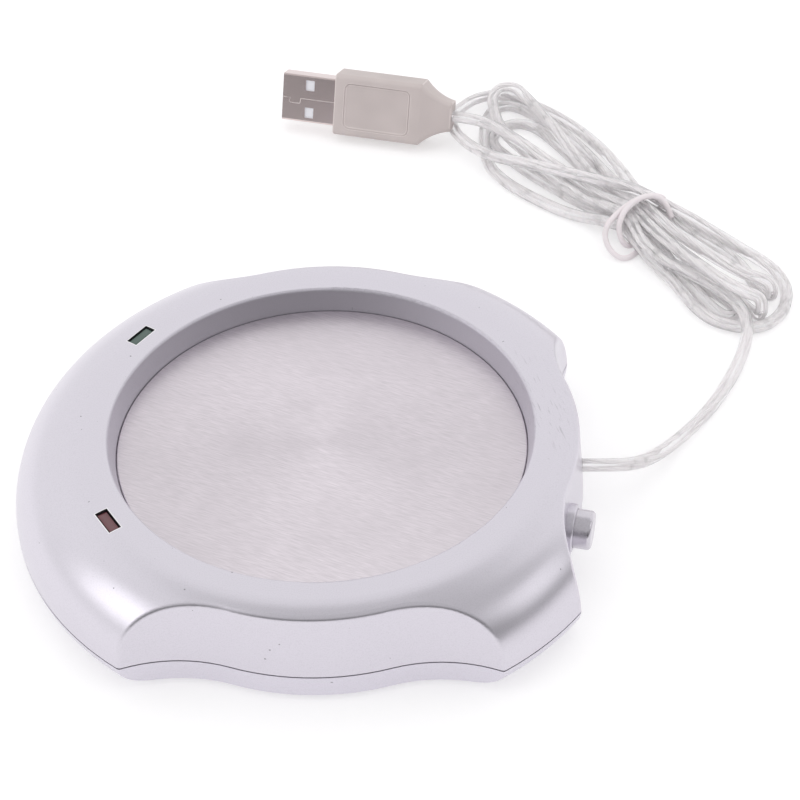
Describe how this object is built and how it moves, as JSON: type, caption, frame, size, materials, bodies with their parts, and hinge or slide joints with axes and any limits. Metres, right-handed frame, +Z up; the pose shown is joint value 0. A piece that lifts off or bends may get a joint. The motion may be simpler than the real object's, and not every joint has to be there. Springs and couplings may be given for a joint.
{
  "type": "electric mug warmer",
  "caption": "Low desk mug warmer with a sunk round heating plate, three wavy walls, two indicator windows, a side push button and a clear USB cord tied in a hank.",
  "frame": {"origin": "on the table, under the centre of the heating plate", "axes": "+Z up along the axis of the heating plate, +X to the side where cord and button are, -Y to the front wavy wall"},
  "size_m": [0.1667, 0.2008, 0.022],
  "materials": {
    "silver_case": "silver-painted ABS moulding, semi-gloss",
    "button_silver": "silver-painted ABS moulding, semi-gloss",
    "heating_plate": "straight brushed",
    "clamp_steel": "zinc-plated pressed sheet",
    "mica": "mica sheet, slightly glossy",
    "ribbon": "nickel-chrome resistance ribbon",
    "pad": "woven glass fibre pad, matte",
    "red_lens": "dark red translucent acrylic",
    "green_lens": "dark green translucent acrylic",
    "red_led": "tinted epoxy",
    "green_led": "tinted epoxy",
    "board": "phenolic paper laminate",
    "resistor": "lacquered",
    "screws": "zinc plated",
    "switch_body": "white moulded nylon",
    "switch_plunger": "white acetal",
    "spring": "spring wire",
    "terminals": "tinned brass",
    "clamp_bar": "moulded ABS",
    "clear_cord": "clear PVC over two tinned copper strands",
    "lead_red": "PVC insulation",
    "lead_black": "PVC insulation",
    "lead_white": "silicone insulation",
    "feet": "self-adhesive rubber pads, matte",
    "tie": "off-white plastic covered wire",
    "plug_shell": "nickel-plated steel",
    "plug_tongue": "white moulded plastic",
    "plug_contacts": "gold-flashed brass",
    "plug_body": "beige-grey PVC overmould"
  },
  "bodies": {
    "housing": {"top_cover": "silver_case", "base_cover": "silver_case", "heating_plate": "heating_plate", "clamp_plate": "clamp_steel", "mica_upper": "mica", "mica_lower": "mica", "heating_ribbon": "ribbon", "insulation_pad": "pad", "red_lens": "red_lens", "green_lens": "green_lens", "red_led": "red_led", "green_led": "green_led", "circuit_board": "board", "led_resistors": "resistor", "board_screws": "screws", "clamp_screws": "screws", "case_screws": "screws", "cord_clamp_screws": "screws", "switch_body": "switch_body", "switch_spring": "spring", "switch_terminals": "terminals", "cord_clamp": "clamp_bar", "cord_inner_end": "clear_cord", "usb_cord": "clear_cord", "cord_tail": "clear_cord", "cord_hank": "clear_cord", "supply_lead_positive": "lead_red", "supply_lead_negative": "lead_black", "switched_lead": "lead_red", "heater_leads": "lead_white", "rubber_feet": "feet", "twist_tie": "tie", "plug_shell": "plug_shell", "plug_tongue": "plug_tongue", "plug_contacts": "plug_contacts", "plug_body": "plug_body"},
    "button": {"button_cap": "button_silver", "switch_plunger": "switch_plunger"}
  },
  "joints": [
    {"name": "button_press", "type": "slide", "parent": "housing", "child": "button", "axis": [-0.9781, 0.2079, 0], "range_m": [0, 0.0026], "stiffness_N_per_m": 300, "deforming": ["switch_spring"]}
  ]
}
